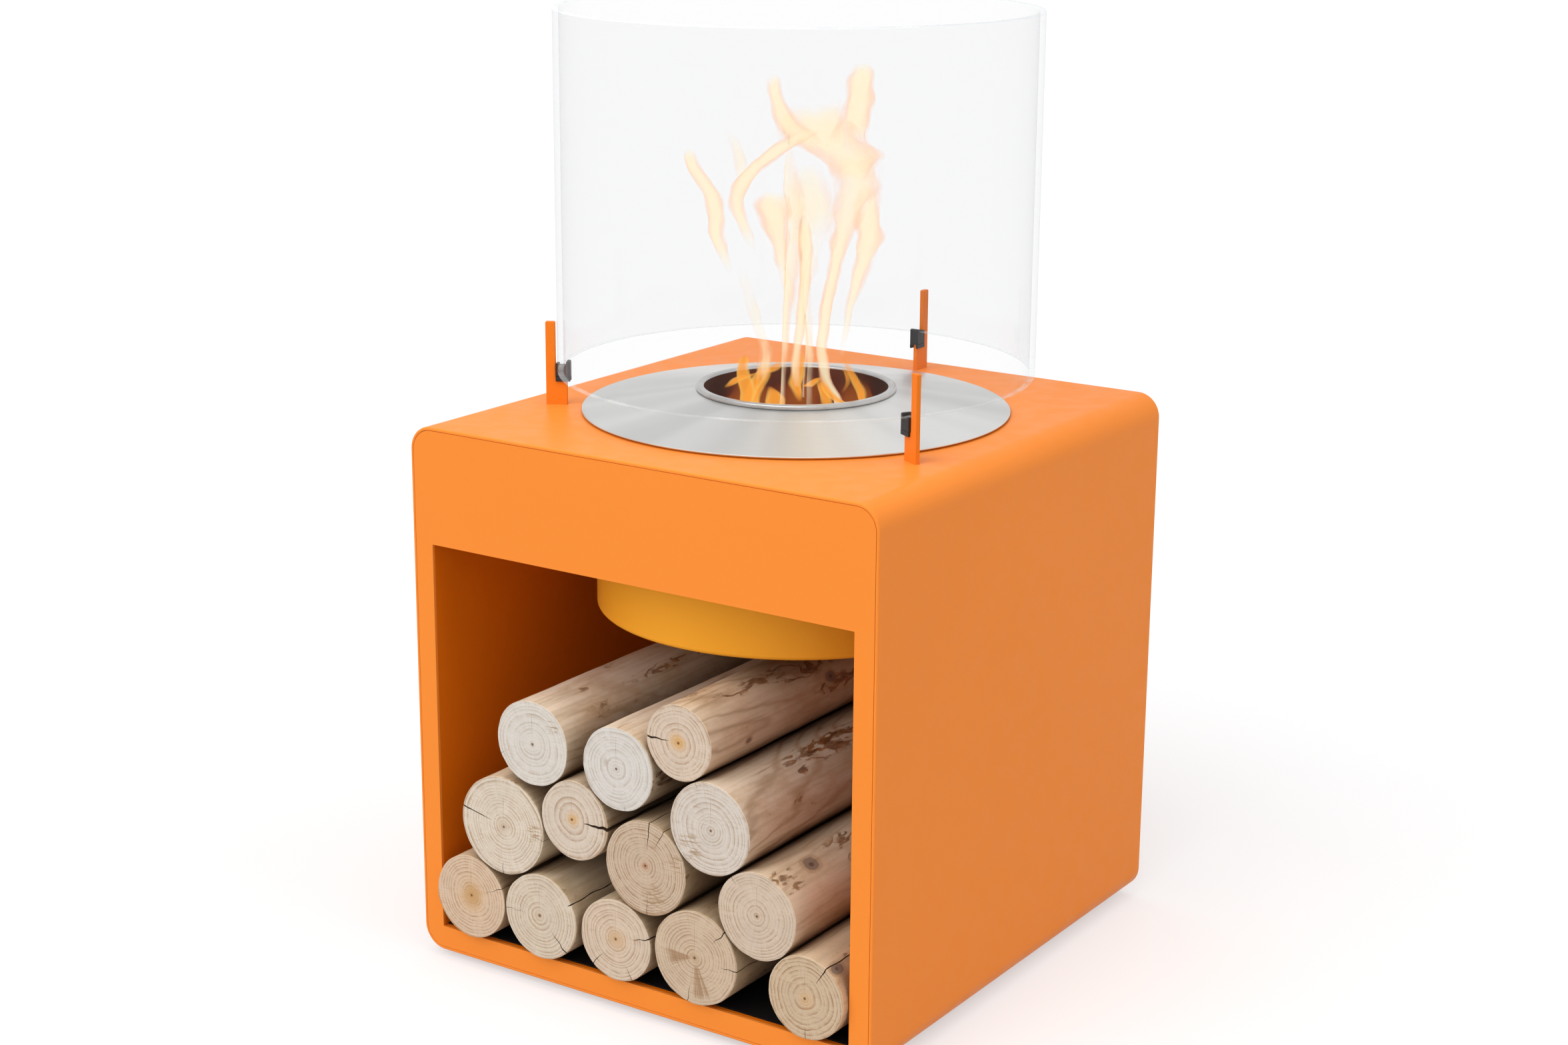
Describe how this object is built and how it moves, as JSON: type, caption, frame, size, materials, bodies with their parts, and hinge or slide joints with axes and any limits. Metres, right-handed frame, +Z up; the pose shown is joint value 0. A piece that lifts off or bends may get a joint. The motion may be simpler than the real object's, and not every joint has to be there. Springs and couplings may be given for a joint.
{
  "type": "fireplace",
  "caption": "Cube-shaped orange steel fireplace with an open log store in front, a round steel fuel burner in its top and a lift-off glass cylinder on flat brackets.",
  "frame": {"origin": "on the floor, under the centre of the casing", "axes": "+Z up; the store's front opening faces -Y; +X is to the right as seen from the front"},
  "size_m": [0.44, 0.4565, 0.7782],
  "materials": {
    "orange_paint": "satin orange powder coat",
    "well_paint": "satin yellow-orange coat",
    "black_mat": "matt black",
    "black_clip": "matt black",
    "foot_rubber": "matt black",
    "zinc_steel": "zinc plated",
    "burner_steel": "turned and brushed in circles",
    "vessel_steel": "heat-darkened steel",
    "ceramic_wool": "matt fibre",
    "clear_glass": "clear, polished edges",
    "log_wood": "peeled and sawn, dry"
  },
  "bodies": {
    "casing": {"casing_wrap": "orange_paint", "front_frame": "orange_paint", "rear_rim": "orange_paint", "back_panel": "orange_paint", "liner_left": "orange_paint", "liner_right": "orange_paint", "liner_floor": "orange_paint", "glass_bracket_front_left": "orange_paint", "glass_bracket_front_right": "orange_paint", "glass_bracket_back": "orange_paint", "burner_well": "well_paint", "well_flange": "well_paint", "well_bottom": "well_paint", "floor_mat": "black_mat", "glass_clip_front_left": "black_clip", "glass_clip_front_right": "black_clip", "glass_clip_back": "black_clip", "foot_front_left": "foot_rubber", "foot_front_right": "foot_rubber", "foot_back_left": "foot_rubber", "foot_back_right": "foot_rubber", "back_panel_screws": "zinc_steel", "bracket_studs": "zinc_steel", "bracket_nuts": "zinc_steel", "foot_screws": "zinc_steel"},
    "glass": {"glass_cylinder": "clear_glass"},
    "burner": {"burner_plate": "burner_steel", "burner_collar": "burner_steel", "burner_seat_ring": "burner_steel", "burner_vessel": "vessel_steel", "vessel_bottom": "vessel_steel", "burner_wool": "ceramic_wool"},
    "log_01": {"log_01": "log_wood"},
    "log_02": {"log_02": "log_wood"},
    "log_03": {"log_03": "log_wood"},
    "log_04": {"log_04": "log_wood"},
    "log_05": {"log_05": "log_wood"},
    "log_06": {"log_06": "log_wood"},
    "log_07": {"log_07": "log_wood"},
    "log_08": {"log_08": "log_wood"},
    "log_09": {"log_09": "log_wood"},
    "log_10": {"log_10": "log_wood"},
    "log_11": {"log_11": "log_wood"},
    "log_12": {"log_12": "log_wood"},
    "log_13": {"log_13": "log_wood"}
  },
  "joints": [
    {"name": "glass_lift", "type": "slide", "parent": "casing", "child": "glass", "axis": [0, 0, 1], "range_m": [0, 0.35]},
    {"name": "burner_lift", "type": "slide", "parent": "casing", "child": "burner", "axis": [0, 0, 1], "range_m": [0, 0.46]},
    {"name": "log_01_pull", "type": "slide", "parent": "casing", "child": "log_01", "axis": [0, -1, 0], "range_m": [0, 0.42]},
    {"name": "log_02_pull", "type": "slide", "parent": "casing", "child": "log_02", "axis": [0, -1, 0], "range_m": [0, 0.42]},
    {"name": "log_03_pull", "type": "slide", "parent": "casing", "child": "log_03", "axis": [0, -1, 0], "range_m": [0, 0.42]},
    {"name": "log_04_pull", "type": "slide", "parent": "casing", "child": "log_04", "axis": [0, -1, 0], "range_m": [0, 0.42]},
    {"name": "log_05_pull", "type": "slide", "parent": "casing", "child": "log_05", "axis": [0, -1, 0], "range_m": [0, 0.42]},
    {"name": "log_06_pull", "type": "slide", "parent": "casing", "child": "log_06", "axis": [0, -1, 0], "range_m": [0, 0.42]},
    {"name": "log_07_pull", "type": "slide", "parent": "casing", "child": "log_07", "axis": [0, -1, 0], "range_m": [0, 0.42]},
    {"name": "log_08_pull", "type": "slide", "parent": "casing", "child": "log_08", "axis": [0, -1, 0], "range_m": [0, 0.42]},
    {"name": "log_09_pull", "type": "slide", "parent": "casing", "child": "log_09", "axis": [0, -1, 0], "range_m": [0, 0.42]},
    {"name": "log_10_pull", "type": "slide", "parent": "casing", "child": "log_10", "axis": [0, -1, 0], "range_m": [0, 0.42]},
    {"name": "log_11_pull", "type": "slide", "parent": "casing", "child": "log_11", "axis": [0, -1, 0], "range_m": [0, 0.42]},
    {"name": "log_12_pull", "type": "slide", "parent": "casing", "child": "log_12", "axis": [0, -1, 0], "range_m": [0, 0.42]},
    {"name": "log_13_pull", "type": "slide", "parent": "casing", "child": "log_13", "axis": [0, -1, 0], "range_m": [0, 0.42]}
  ]
}
